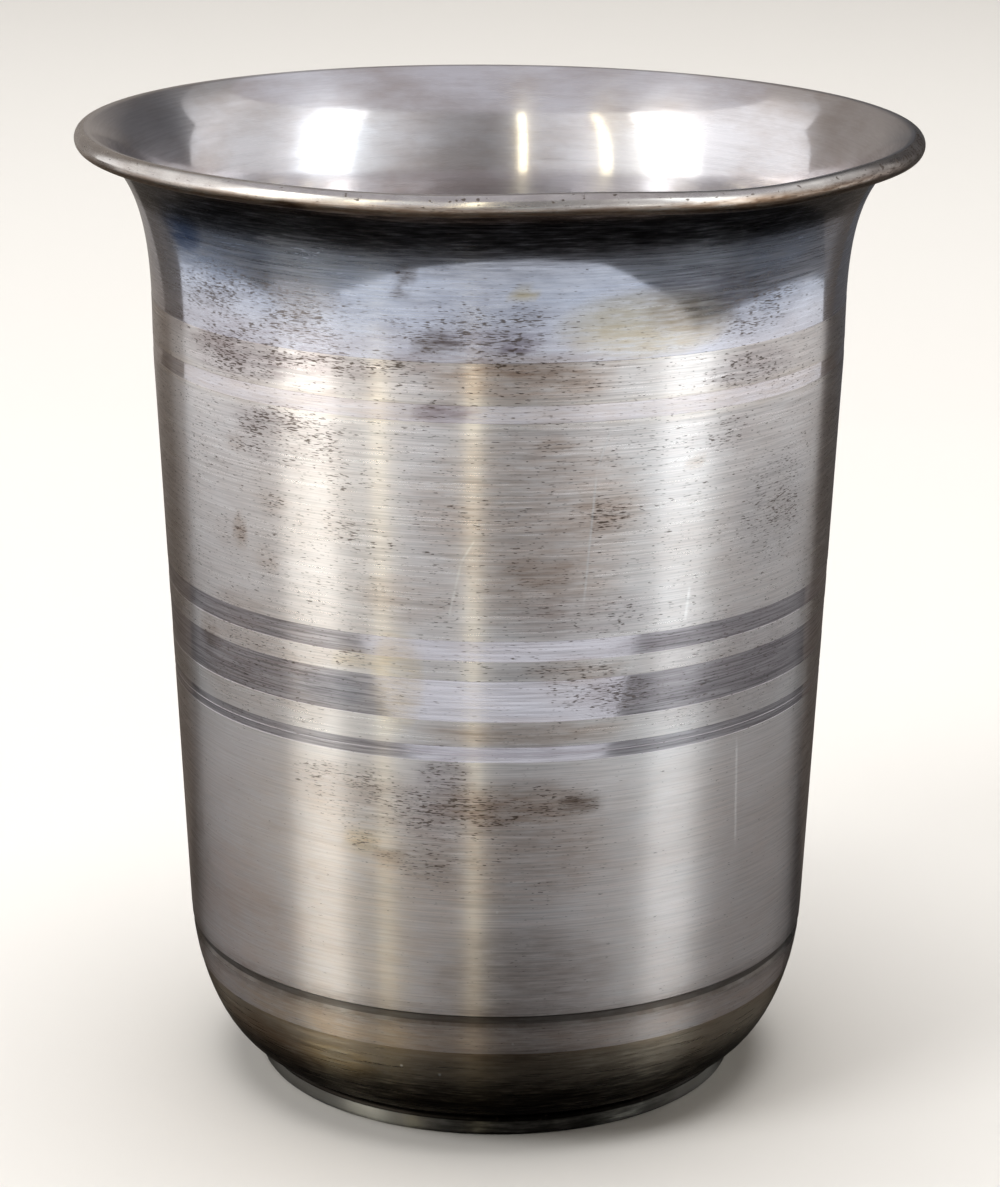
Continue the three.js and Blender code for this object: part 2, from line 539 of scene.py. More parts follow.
# %% A pattern that is drawn out round the axis
def lathe_noise(tree, along, across, detail, roughness):
    """Noise with grains about `along` mm long round the cup and `across` mm high."""
    place = add(tree, "ShaderNodeTexCoord", out="Object")
    xyz = add(tree, "ShaderNodeSeparateXYZ", place).node.outputs
    level = add(tree, "ShaderNodeCombineXYZ", xyz["X"], xyz["Y"], 0.0)
    radius = add(tree, "ShaderNodeVectorMath", level, operation="LENGTH", out="Value")
    climb = add(tree, "ShaderNodeMath", xyz["Z"], radius, operation="ADD")
    drawn = add(tree, "ShaderNodeCombineXYZ", xyz["X"], xyz["Y"], climb)
    per_grain = (1 / (along * MM), 1 / (along * MM), 1 / (across * MM))
    drawn = add(tree, "ShaderNodeVectorMath", drawn, per_grain, operation="MULTIPLY")
    grain = {"Scale": 1.0, "Detail": detail, "Roughness": roughness}
    return add(tree, "ShaderNodeTexNoise", drawn, **grain)


# %% [markdown]
# Where the tarnish lies is no accident. It is thick where a cloth can't reach, under the rolled
# lip, and elsewhere it lies in patches where fingers or drops have been. A pattern alone can't
# place such patches, so they are painted: each one is a soft ellipse on the outside of the cup, and
# three attributes of the mesh hold them all. Some patches are painted shade: the band that darkens
# the wall towards the foot is tarnish and painted shade together, and the darker front of the
# lower corner and of the foot ring, and the darker strips at both sides as the front sees them,
# are painted shade. `film` is the light that the film and the painted shade take away, `pits` is
# how thickly the pits lie, and `haze` is how dull the silver is. The front patches are listed, and
# the back gets patches from a fixed seed.

# %% The patches of tarnish
FILMS = {
    "straw": "#F4E2B4",
    "rose": "#D8C0B4",
    "brown": "#C0A68C",
    "umber": "#7E6A58",
    "plum": "#A79BA2",
    "steel": "#A6B6C8",
    "blue": "#6A86B0",
    # black tarnish, and also the colour of the painted shade over the foot and on the ring
    "soot_and_shade": "#403C38",
}
ALL_ROUND = 400  # a half width that reaches all round the cup
PATCHES = (  # (angle, height, half width, half height, film, its strength, and any pits and haze)
    (0, 87.6, ALL_ROUND, 2, "plum", 0.3, 0.3),
    (0, 86.9, ALL_ROUND, 1.1, "brown", 0.9, 0.3, 0.1),
    (62, 87, 22, 1.5, "umber", 0.5, 0.8, 0.05),
    (0, 62, ALL_ROUND, 22, "rose", 0.12, 0.35),
    (0, 22, ALL_ROUND, 18, "rose", 0.2, 0, 0.03),
    (-30, 22, 14, 18, "straw", 0.12),
    (0, 81.5, ALL_ROUND, 6, "steel", 0.3),
    (0, 84.8, ALL_ROUND, 2.4, "umber", 0.5),
    (0, 85, ALL_ROUND, 2, "soot_and_shade", 0.78),
    (-56, 82.8, 3.6, 2.6, "blue", 0.9),
    (40, 85, 14, 2, "soot_and_shade", 0.4),
    (76, 87.8, 14, 1.8, "umber", 0.6, 1, 0.1),
    (-27, 87, 2.2, 0.9, "umber", 0.8, 0.3, 0.1),
    (-50, 82.5, 9, 4.4, "steel", 0.5, 0, 0.14),
    (-28, 82.5, 8, 3.4, "steel", 0.25, 0, 0.14),
    (0, 84, 16, 3.5, "umber", 0.3),
    (-13.3, 81.2, 1, 1, "umber", 0.5, 1, 0.05),
    (-14.6, 79.6, 0.8, 0.6, "umber", 0.5, 1),
    (32, 78.5, 6, 3.4, "plum", 0.35, 0.2, 0.03),
    (47, 82.5, 6, 3.5, "steel", 0.4, 0, 0.14),
    (4, 79.6, 1.3, 0.7, "straw", 0.8),
    (-31, 78.5, 4, 2.4, "brown", 0.15, 0.3, 0.14),
    (-42, 76.5, 15, 4.6, "plum", 0.08, 1, 0.02),
    (-50, 75, 9, 3.4, "brown", 0.1, 0.9),
    (24, 76.6, 9, 3.2, "straw", 0.6, 0.2),
    (44, 77.5, 7, 3.6, "steel", 0.2, 1),
    (44, 71.6, 6, 1.9, "plum", 0.3, 1),
    (-3, 76.4, 10, 3.4, "plum", 0.15, 0.8),
    (-2, 75.8, 6, 1.2, "plum", 0.4, 1),
    (-8.8, 75.2, 2.6, 1.1, "umber", 0.6, 0.9, 0.05),
    (-34, 73.8, 20, 2.4, "plum", 0.2, 0.9),
    (2, 73.6, 12, 1.3, "brown", 0.35, 0.7),
    (3, 75, 1.7, 0.8, "plum", 0.7, 1),
    (-46, 72, 8, 2.2, "plum", 0.35, 1),
    (-28, 71.8, 6, 2.6, "plum", 0.25, 0.3),
    (4, 72, 9, 1.9, "brown", 0.5, 0.5),
    (0, 69.4, ALL_ROUND, 1.1, "straw", 0.15, 0.2),
    (-8, 69.4, 3, 1, "plum", 0.7, 0.8, 0.05),
    (-40, 67, 4, 1.4, "plum", 0.2, 0.7),
    (-35, 66, 9, 3.4, "plum", 0.15, 1),
    (9, 66.8, 2.2, 0.7, "brown", 0.4, 0.9),
    (38, 66, 4, 2.2, "plum", 0.1, 0.6),
    (-46, 64.5, 1.6, 0.9, "brown", 0.2, 1),
    (33, 64, 1.2, 0.5, "brown", 0.4, 1),
    (-25.5, 63, 2.2, 3.5, "brown", 0.05, 0.8),
    (5, 61, 11, 8, "brown", 0.34, 0.2),
    (18, 60.8, 3.4, 2, "brown", 0.25, 0.85),
    (-38.5, 60, 2.4, 1, "brown", 0.15, 1),
    (-25.5, 58.5, 2.2, 1.6, "brown", 0.1, 1),
    (51, 58.5, 6, 6, "steel", 0.15, 0.7),
    (-46, 56.5, 0.9, 1.8, "brown", 0.4, 0.9),
    (-40, 54.5, 1.8, 1.2, "brown", 0.2, 0.9),
    (8, 53.5, 7, 4, "brown", 0.3, 0.4),
    (-14, 53, 5, 2.8, "brown", 0.2, 0.4),
    (15, 51.5, 7, 2.4, "plum", 0.2, 0.6),
    (-23.5, 47, 2.6, 1, "straw", 0.3, 0.9),
    (-28, 44, 3.6, 1.9, "steel", 0.35, 0.2),
    (-16, 45.5, 2.6, 5, "straw", 0.35, 0.3),
    (26, 48.5, 4, 1, "plum", 0.3, 0.4),
    (13, 46.6, 5, 1.2, "brown", 0.4, 1),
    (-57, 46, 2, 2, "umber", 0.5, 0.7, 0.1),
    (-44, 44.5, 10, 7, "brown", 0.25, 0.5),
    (13, 44.6, 3.4, 1.6, "brown", 0.1, 1),
    (20.5, 44.2, 4.2, 2, "plum", 0.25, 1),
    (42, 44.5, 11, 6.5, "plum", 0.2, 0.5),
    (5, 41, 10, 1.3, "brown", 0.5, 0.3),
    (0, 39.4, 16, 0.8, "plum", 0.3, 0.1),
    (-8, 37, 3, 1.8, "plum", 0.4, 1),
    (-25, 35.5, 7, 2.2, "plum", 0.1, 0.8),
    (-11, 33.5, 8, 3, "plum", 0.25, 0.9),
    (14.5, 34.4, 2.2, 1, "umber", 0.6, 1),
    (3, 34.5, 8, 2.4, "brown", 0.4, 0.8),
    (-27, 34, 4, 3.5, "brown", 0.1, 0.6),
    (-23, 30.3, 1.9, 1.4, "straw", 0.35, 0.9),
    (-18, 29, 1.8, 0.8, "brown", 0.4, 1),
    (2, 30, 10, 6.5, "brown", 0.25, 0.3),
    (-11, 29.2, 4.4, 2, "umber", 0.2, 0.8),
    (-52, 20, 9, 7, "rose", 0.2),
    (5, 18, 9, 5.5, "umber", 0.3),
    (0, 13.9, ALL_ROUND, 1.1, "umber", 0.35),
    (0, 11.8, ALL_ROUND, 1.9, "brown", 0.35, 0.1, 0.05),
    (-30, 11.8, 14, 1.9, "straw", 0.3),
    (2, 12, 9, 2.2, "umber", 0.15, 0.1),
    (-31, 7.8, 5, 2.2, "straw", 0.5),
    (-50, 7, 8, 3.4, "brown", 0.6, 0.2),
    # painted shade: the front of the lower corner is darker
    (8, 7, 17, 4.4, "soot_and_shade", 0.5, 0.1),
    # tarnish and painted shade: the wall darkens towards the foot all round
    (0, 2.2, ALL_ROUND, 5.6, "soot_and_shade", 0.95),
    # painted shade: the wall is darker at both sides, as the front sees it
    (-73, 48, 6, 34, "umber", 0.3, 0.2),
    (73, 48, 6, 34, "umber", 0.3, 0.2),
)
RING_TARNISH_AND_SHADE = (
    # painted shade: the front of the ring is darker
    (14, 1, 14, 4, "soot_and_shade", 0.9),
    (180, 1, 40, 4, "umber", 0.5),
)
BACK_PATCHES = 44
BACK_SEED = 5


def patches_behind():
    """Patches for the back, smaller and fainter than those at the front."""
    chance = random.Random(BACK_SEED)
    for _ in range(BACK_PATCHES):
        angle, height = chance.uniform(85, 275), chance.uniform(16, 84)
        width, film = chance.uniform(1.5, 8), chance.choice(("straw", "brown", "brown", "plum"))
        strength, pits, haze = chance.uniform(0.1, 0.35), chance.uniform(0, 1), chance.uniform(0, 0.05)
        yield angle, height, width, width * chance.uniform(0.3, 0.6), film, strength, pits, haze


print(len(PATCHES), "patches are painted on the front")

# %% Painting the patches on a piece
SKIN_ROOM = 0.5  # a point no deeper than this under the skin is outside


def paint_tarnish_and_shade(piece, patches):
    """Adds the three attributes to a piece, with tarnish and some painted shade on its outside only.
    """
    mesh = piece.data
    film, pits, haze = [], [], []
    for vertex in mesh.vertices:
        x, y, height = vertex.co / MM
        radius, angle = math.hypot(x, y), math.degrees(math.atan2(x, -y))
        left, pitted, dull = Vector((1, 1, 1)), 0.0, 0.0
        skin = skin_radius(max(height, FOOT_HEIGHT)) - SKIN_ROOM
        is_outside = radius > (skin if height < flare_end.y else bead_centre.x)
        for at, level, wide, high, kind, strength, *more in patches:
            climb = (height - level) / high
            if not is_outside or abs(climb) > 1:
                continue
            apart = (angle - at + 180) % 360 - 180
            along = math.radians(apart) * radius / wide
            inside = max(0.0, 1 - along**2 - climb**2)
            inside *= 2 - inside
            share = inside * strength
            left = Vector([c * (1 - share * (1 - f)) for c, f in zip(left, linear(FILMS[kind]))])
            some_pits, some_haze = (*more, 0, 0)[:2]
            pitted = max(pitted, inside * some_pits)
            dull = max(dull, inside * some_haze)
        film.extend((*[1 - c for c in left], 1.0))
        pits.append(pitted)
        haze.append(dull)
    mesh.attributes.new("film", "FLOAT_COLOR", "POINT").data.foreach_set("color", film)
    mesh.attributes.new("pits", "FLOAT", "POINT").data.foreach_set("value", pits)
    mesh.attributes.new("haze", "FLOAT", "POINT").data.foreach_set("value", haze)
    print(piece.name, "is painted with", len(patches), "patches of tarnish")


# %% [markdown]
# A cup that is in use also has scratches, which show as bare bright lines, and a few specks of
# lint. There are so few of them that each one is listed: its two ends are given as angle and
# height, and a small mask of nodes draws the line between them.

# %% Scratches and specks of lint
SCRATCHES = (  # (angle, height) of both ends, and the width
    ((-7.5, 51.3), (-5.4, 56.5), 0.34),
    ((-5.4, 56.5), (-3.2, 58.5), 0.3),
    ((14, 52), (15.7, 64.5), 0.34),
    ((15.7, 64.5), (17.9, 68), 0.3),
    ((32.1, 50), (32.7, 53.2), 0.4),
    ((46.5, 27), (45, 38.5), 0.4),
    ((3.2, 11.6), (3.6, 11.7), 0.5),  # from here on, specks of lint
    ((0.3, 24.5), (0.7, 24.4), 0.4),
    ((-17.5, 8.7), (-17, 8.6), 0.4),
    ((-10.3, 8), (-9.8, 8.1), 0.4),
)
SCRATCH_FULL = 0.7  # share of its length over which a scratch shows in full


def angle_and_height(tree):
    """The angle round the axis, from 0 at the front and growing towards +X, and the height."""
    place = add(tree, "ShaderNodeTexCoord", out="Object")
    xyz = add(tree, "ShaderNodeSeparateXYZ", place).node.outputs
    away = add(tree, "ShaderNodeMath", xyz["Y"], -1.0, operation="MULTIPLY")
    return add(tree, "ShaderNodeMath", xyz["X"], away, operation="ARCTAN2"), xyz["Z"]


def scratched(tree):
    """1 along every scratch and 0 beside it, with the outside rolled out flat."""
    angle, height = angle_and_height(tree)
    along = add(tree, "ShaderNodeMath", angle, WALL_RADIUS * MM, operation="MULTIPLY")
    here = add(tree, "ShaderNodeCombineXYZ", along, height, 0.0)
    dot = {"operation": "DOT_PRODUCT", "out": "Value"}
    mask = None
    for *ends, width in SCRATCHES:
        start, end = [Vector((math.radians(a) * WALL_RADIUS, z, 0)) * MM for a, z in ends]
        half = (end - start) / 2
        offset = add(tree, "ShaderNodeVectorMath", here, start + half, operation="SUBTRACT")
        ahead = half.normalized()
        sideways = Vector((-ahead.y, ahead.x, 0))
        lengthwise = (ahead, half.length * SCRATCH_FULL, half.length)
        line = None
        for direction, full, gone in (lengthwise, (sideways, 0.0, width / 2 * MM)):
            off = add(tree, "ShaderNodeVectorMath", offset, direction, **dot)
            off = add(tree, "ShaderNodeMath", off, operation="ABSOLUTE")
            part = add(tree, "ShaderNodeMapRange", off, full, gone, 1.0, 0.0)
            line = add(tree, "ShaderNodeMath", line, part, operation="MULTIPLY") if line else part
        mask = add(tree, "ShaderNodeMath", mask, line, operation="MAXIMUM") if mask else line
    return mask


print(len(SCRATCHES), "scratches and specks are placed")

# %% [markdown]
# The node group turns the painted attributes into something with an edge and a grain. The film is
# broken up by noise, and the pits are short dashes along the furrows: a dash shows where noise
# rises over a threshold, and the threshold is lower where the pits lie thick.

# %% The film of tarnish, as one node group
BROWN_FILM = linear("#A88D70")
PIT = linear("#584A40")
SCRATCH = linear("#FFFCFA")
BLOTCH = 15.0  # size of the brown blotches in millimetres
BLOTCH_SPAN = (0.42, 0.68)  # where in the noise a blotch begins, and where it is full
CLUSTER = 5.0  # size of the clusters that pits gather in
CLUSTER_SPAN = (0.36, 0.64)
CLUSTER_FILM = 0.5  # how much more film there is in a cluster
CLUSTER_PITS = (0.35, 1.3)  # share of the painted pits beside a cluster and in it
NOISE_SPAN = (0.35, 0.65)  # nearly all of a noise lies between these
STREAK_LONG, STREAK_HIGH = 2.6, 0.34  # the film lies in short streaks along the furrows
STREAK_FILM = (0.4, 1.2)  # share of the painted film between streaks and in them
PIT_LONG, PIT_HIGH = 0.6, 0.1  # a pit is a short dash, drawn a little coarser than it is
PIT_STARTS, PIT_EDGE = 0.72, 0.06
PIT_DENSER = 0.2  # how far painted pits lower the threshold
PIT_DULLS, SCRATCH_DULLS = 0.25, 0.1  # what they add to the roughness
SCRATCH_SHOWS = 0.4


def tarnish_group():
    """A group that gives a finish its film, pits and scratches, and says how dull they make it."""
    tree = bpy.data.node_groups.new("tarnish", "ShaderNodeTree")
    sockets = (
        ("Colour", "INPUT", "NodeSocketColor"),
        ("Browning", "INPUT", "NodeSocketFloat"),
        ("Pitting", "INPUT", "NodeSocketFloat"),
        ("Colour", "OUTPUT", "NodeSocketColor"),
        ("Dullness", "OUTPUT", "NodeSocketFloat"),
    )
    for label, way, kind in sockets:
        tree.interface.new_socket(label, in_out=way, socket_type=kind)
    given = add(tree, "NodeGroupInput").node.outputs
    # the film holds tarnish and, in a few patches, painted shade
    film = add(tree, "ShaderNodeAttribute", attribute_name="film", out=1)
    pitted = add(tree, "ShaderNodeAttribute", attribute_name="pits", out=2)
    hazed = add(tree, "ShaderNodeAttribute", attribute_name="haze", out=2)

    blotch = lathe_noise(tree, BLOTCH, BLOTCH * 0.6, 5.0, 0.65)
    blotch = add(tree, "ShaderNodeMapRange", blotch, *BLOTCH_SPAN)
    cluster = lathe_noise(tree, CLUSTER, CLUSTER * 0.5, 5.0, 0.7)
    cluster = add(tree, "ShaderNodeMapRange", cluster, *CLUSTER_SPAN)

    brown = add(tree, "ShaderNodeMath", blotch, given["Browning"], operation="MULTIPLY")
    blend = {"data_type": "RGBA", "blend_type": "MULTIPLY"}
    colour = add(tree, "ShaderNodeMix", brown, given["Colour"], BROWN_FILM, **blend)
    streaks = lathe_noise(tree, STREAK_LONG, STREAK_HIGH, 3.0, 0.6)
    broken = add(tree, "ShaderNodeMapRange", streaks, *NOISE_SPAN, *STREAK_FILM)
    broken = add(tree, "ShaderNodeMath", cluster, CLUSTER_FILM, broken, operation="MULTIPLY_ADD")
    kept = add(tree, "ShaderNodeVectorMath", (1.0, 1.0, 1.0), film, operation="SUBTRACT")
    kept = add(tree, "ShaderNodeVectorMath", kept, broken, operation="POWER")
    colour = add(tree, "ShaderNodeVectorMath", colour, kept, operation="MULTIPLY")

    dash = lathe_noise(tree, PIT_LONG, PIT_HIGH, 1.0, 0.5)
    patchy = add(tree, "ShaderNodeMapRange", cluster, 0.0, 1.0, *CLUSTER_PITS)
    thick = add(tree, "ShaderNodeMath", pitted, patchy, operation="MULTIPLY", use_clamp=True)
    dash = add(tree, "ShaderNodeMath", thick, PIT_DENSER, dash, operation="MULTIPLY_ADD")
    pits = add(tree, "ShaderNodeMapRange", dash, PIT_STARTS, PIT_STARTS + PIT_EDGE)
    pits = add(tree, "ShaderNodeMath", pits, given["Pitting"], operation="MULTIPLY", use_clamp=True)
    colour = add(tree, "ShaderNodeMix", pits, colour, PIT, data_type="RGBA")

    scratches = scratched(tree)
    bare = add(tree, "ShaderNodeMath", scratches, SCRATCH_SHOWS, operation="MULTIPLY")
    colour = add(tree, "ShaderNodeMix", bare, colour, SCRATCH, data_type="RGBA")
    haze = add(tree, "ShaderNodeMath", hazed, broken, operation="MULTIPLY")
    dull = add(tree, "ShaderNodeMath", pits, PIT_DULLS, haze, operation="MULTIPLY_ADD")
    clamped = {"operation": "MULTIPLY_ADD", "use_clamp": True}
    dull = add(tree, "ShaderNodeMath", scratches, SCRATCH_DULLS, dull, **clamped)
    add(tree, "NodeGroupOutput", colour, dull)
    return tree


tarnish = tarnish_group()
print("the tarnish group has", len(tarnish.nodes), "nodes")

# %% [markdown]
# ## Brushed and burnished silver
#
# Fine furrows round the cup spread each reflection up and down but hardly sideways, so a lamp
# becomes an upright streak. That is what the anisotropic part of the shader does, and its tangent
# has to point up the outline, across the furrows. The furrows themselves are fine noise that is
# drawn out round the cup: they change the colour and the roughness and tilt the surface a little.
# On the real cup they are a few hundredths of a millimetre wide. Here they are drawn one to four
# tenths wide, as coarse as they need to be to show from the camera.

# %% A silver surface worked on the lathe
FURROW_LONG = 7.0  # a furrow runs so far before it fades
TRACK_LONG, TRACK_WIDE = 24.0, 3.0  # a track of the abrasive: long, and some furrows wide
TRACK_SHARE = 0.2  # share of the tracks in the pattern, beside the furrows
OLD_FURROWS = 0.3  # roughness of the furrows that the burnisher rode over
OLD_SWING = 1.3  # how unevenly they are left, for each part of unevenness in the roughness


def lathe_tangent(tree):
    """Up the outline at every point: across the way round the axis, and across the normal."""
    place = add(tree, "ShaderNodeTexCoord", out="Object")
    axis = (0.0, 0.0, 1.0)
    around = add(tree, "ShaderNodeVectorMath", axis, place, operation="CROSS_PRODUCT")
    normal = add(tree, "ShaderNodeNewGeometry", out="Normal")
    up = add(tree, "ShaderNodeVectorMath", normal, around, operation="CROSS_PRODUCT")
    return add(tree, "ShaderNodeVectorMath", up, operation="NORMALIZE")


def worked_silver(
    name, colour, roughness, uneven, anisotropy, furrow, depth, streak, browning, pitting, left=0.0
):
    """Furrow and depth are in millimetres; left is the share of the old furrows left in a shine."""
    material = bare_material(name)
    tree = material.node_tree
    fine = lathe_noise(tree, FURROW_LONG, furrow, 2.0, 0.6)
    tracks = lathe_noise(tree, TRACK_LONG, furrow * TRACK_WIDE, 3.0, 0.6)
    lines = add(tree, "ShaderNodeMix", TRACK_SHARE, fine, tracks)
    film = {"node_tree": tarnish, "Browning": browning, "Pitting": pitting}
    film = add(tree, "ShaderNodeGroup", Colour=linear(colour), **film).node.outputs

    darker = add(tree, "ShaderNodeMapRange", lines, *NOISE_SPAN, 1.0 - streak, 1.0 + streak)
    tint = add(tree, "ShaderNodeVectorMath", film["Colour"], operation="SCALE", Scale=darker)
    dull, bright = roughness * (1 + uneven), roughness * (1 - uneven)
    rough = add(tree, "ShaderNodeMapRange", lines, *NOISE_SPAN, dull, bright)
    rough = add(tree, "ShaderNodeMath", film["Dullness"], rough, operation="ADD")
    bump = add(tree, "ShaderNodeBump", Strength=1.0, Distance=depth * MM, Height=lines)

    shine = {"Base_Color": tint, "Metallic": 1.0, "Normal": bump, "Tangent": lathe_tangent(tree)}
    shown = {"Roughness": rough, "Anisotropic": anisotropy}
    shader = add(tree, "ShaderNodeBsdfPrincipled", **shine, **shown)
    if left:
        old = {"Roughness": OLD_FURROWS, "Anisotropic": 1.0}
        old = add(tree, "ShaderNodeBsdfPrincipled", **shine, **old)
        swing = OLD_SWING * uneven
        share = {"To_Min": left * (1 + swing), "To_Max": left * (1 - swing)}
        share = add(tree, "ShaderNodeMapRange", fine, *NOISE_SPAN, **share)
        shader = add(tree, "ShaderNodeMixShader", share, shader, old)
    add(tree, "ShaderNodeOutputMaterial", shader)
    return material


print("old furrows are left in a shine with a roughness of", OLD_FURROWS)

# %% [markdown]
# Each part of the cup has its own finish, from the way it was worked and from how easily a cloth
# reaches it. A finish is one line: name, colour, roughness and its unevenness, anisotropy, width
# and depth of the furrows, how strongly they streak the colour, browning, pitting, and in a shine
# the share that is left of the old furrows.

# %% The finishes of the cup
FINISHES = {
    # Brushed with abrasive on the lathe: grey and soft, with upright streaks for every lamp.
    "brushed": ("brushed silver", "#EAE4E2", 0.3, 0.1, 1.0, 0.14, 0.004, 0.17, 0.2, 0.8),
    # Burnished bands: almost a mirror, so they show the table in front of the cup.
    "polished": ("burnished band", "#EAE3E7", 0.08, 0.3, 0.8, 0.16, 0.001, 0.08, 0.1, 0.8, 0.52),
    # The burnished neck: nearly a mirror too, under the first bluish film of tarnish.
    "neck": ("burnished neck", "#E8E7F0", 0.08, 0.3, 0.6, 0.2, 0.0006, 0.06, 0.25, 0.8, 0.32),
    # The lower corner: brushed like the wall, and browned where a cloth slides past it.
    "corner": ("browned silver", "#C0B29E", 0.3, 0.2, 1.0, 0.2, 0.006, 0.12, 0.4, 0.2),
    # The groove: cut by a tool and never rubbed, so it is a dull dark line.
    "groove": ("tarnished groove", "#8A8682", 0.34, 0.1, 1.0, 0.3, 0.01, 0.05, 0.4, 0.6),
    # The rolled lip: worn smooth, with one broad soft glint along it.
    "lip": ("rolled silver lip", "#DCD7D2", 0.24, 0.3, 0.5, 0.25, 0.001, 0.1, 0.3, 0.8),
    # The seam under the roll: tarnish has filled it and painted crease shade darkens it, so it is
    # nearly black and hardly shines.
    "seam": ("tarnished and shaded seam", "#4A4038", 0.5, 0.1, 0.3, 0.3, 0.002, 0.05, 0.5, 0.3),
    # The inside: a satin shine, in which the lights keep a soft edge.
    "inside": ("silver inside", "#E4E0E3", 0.1, 0.12, 0.8, 0.4, 0.0003, 0.03, 0.45, 0.0, 0.5),
    # The underside: turned and left so, and seldom rubbed, so it is yellowish and dull.
    "under": ("turned underside", "#C9C0B0", 0.25, 0.2, 0.9, 0.3, 0.003, 0.05, 0.5, 0.5),
    # The foot ring: filed, and rubbed on tables since: a dull grey with a fine grain.
    "foot": ("filed silver ring", "#8E8A82", 0.36, 0.1, 1.0, 0.3, 0.004, 0.06, 0.3, 0.3),
    # The solder, a duller alloy, and with it the ring's rounded upper edge: both are nearly black, and
    # they hardly shine.
    "solder": ("dark solder and ring top", "#2A2622", 0.5, 0.1, 0.2, 0.3, 0.002, 0.05, 0.5, 0.3),
}
silver = {part: worked_silver(*finish) for part, finish in FINISHES.items()}
print(len(silver), "finishes of silver")

# %% [markdown]
# ## The two pieces
#
# Now the two outlines are turned. The cup was spun by hand, so its wall wanders a little, its
# mouth leans by a quarter of a degree, and the lip was knocked once. The ring is nearly true. Then
# the tarnish and the painted shade are painted on, and each piece takes the place of its solid.

# %% Turn the cup and its ring
RING_UNTRUE = 0.003  # share of the radius
SPUN = {
    "Out of round": 0.004,
    "Seed": 3.0,
    "Lip starts at": FLARE_START * MM,
    "Lip ends at": HEIGHT * MM,
    "Lip lean": math.tan(math.radians(0.246)),
    "Knock depth": 0.3 * MM,
    "Knock angle": math.radians(22.6),
}
cup = turn_piece("spun_cup", cup_points, cup_finishes, silver, **SPUN)
untrue = {"Out of round": RING_UNTRUE}
ring = turn_piece("soldered_foot", ring_points, ring_finishes, silver, **untrue)

paint_tarnish_and_shade(cup, PATCHES + tuple(patches_behind()))
paint_tarnish_and_shade(ring, RING_TARNISH_AND_SHADE)

for piece, node, slot in ((cup, "cup_body", "brushed_silver"), (ring, "foot_ring", "foot_silver")):
    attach(piece, "root")
    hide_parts(node)

# %% [markdown]
# ## The camera
#
# The camera stands about a third of a metre from the cup, with a long lens that the cup nearly
# fills, and looks down on it by 16 degrees. It is turned by a fraction of a degree about its own
# axis, as a camera in the hand is.

# %% Camera
LOOK_DOWN, LOOK_LEFT, ROLL = 16.45, 0.278, 0.288  # degrees
STAND = Vector((1.778, -319.73, 139.1)) * MM

SENSOR, LENS = 36.0, 108.48  # millimetres, the sensor's along its longer, upright side

eye = bpy.data.cameras.new("camera")
eye.sensor_width = SENSOR
eye.lens = LENS
eye.clip_start = 0.01
camera = placed("camera", eye)
tilt = Matrix.Rotation(math.radians(90 - LOOK_DOWN), 4, "X")
turn = Matrix.Rotation(math.radians(LOOK_LEFT), 4, "Z")
roll = Matrix.Rotation(math.radians(ROLL), 4, "Z")
camera.matrix_world = Matrix.Translation(STAND) @ turn @ tilt @ roll
bpy.context.scene.camera = camera
print(f"the camera sees {math.degrees(2 * math.atan(SENSOR / 2 / LENS)):.1f} degrees of height")

# %% [markdown]
# ## What the silver mirrors
#
# Bright silver has hardly a colour of its own: it shows what stands around it. So whoever shows
# silver lights the room and not the silver. Around this cup are dark cloths on a pale table, and
# outside them a ring of pale and bright reflectors. They are cards that only a reflection sees:
# the camera and the shadows look straight through them to the plain floor.


# %% Cards that only reflections see
def stage_material(name, colour):
    """A glow of one colour, until another is linked to it."""
    material = bare_material(name)
    glow = add(material.node_tree, "ShaderNodeEmission", Color=linear(colour))
    add(material.node_tree, "ShaderNodeOutputMaterial", glow)
    material.cycles.emission_sampling = "NONE"
    return material


def only_reflected(piece):
    """Hides a thing of the set from all but reflections."""
    for ray in ("camera", "diffuse", "transmission", "volume_scatter", "shadow"):
        setattr(piece, "visible_" + ray, False)


def card(name, corners, material):
    """A flat card of the set, with its corners in millimetres."""
    mesh = bpy.data.meshes.new(name)
    mesh.from_pydata([[c * MM for c in corner] for corner in corners], [], [range(len(corners))])
    mesh.materials.append(material)
    only_reflected(placed(name, mesh))


REACH = 1100  # how far the reflected things go, in millimetres
STAGE_TOP = 1300  # and how high
TABLE_AT, LAID_AT, BEHIND_AT = -0.6, -0.4, -0.3  # heights, so that the cloths lie on the table


def wide_card(name, height, material):
    """A level card as wide as the whole set."""
    corners = [(-REACH, -REACH), (REACH, -REACH), (REACH, REACH), (-REACH, REACH)]
    card(name, [(x, y, height) for x, y in corners], material)


ceiling = stage_material("ceiling", "#C8C8CE")
wide_card("ceiling", STAGE_TOP - 1, ceiling)
print("the ceiling is", (STAGE_TOP - 1) * MM, "metres above the table")

# %% [markdown]
# The pale table is brightest towards the two windows, which stand to the left and the right, and
# nearer to the cup it has one even and duller tone. What each direction gives is a colour ramp
# that is read by the angle round the axis, with 0 at the front and plus towards +X.

# %% The table
LIGHT_COLOURS = {"room": "#FCFEFF", "daylight": "#F4FCFF", "sun": "#FDFFF9", "lamp": "#FFF8D6"}


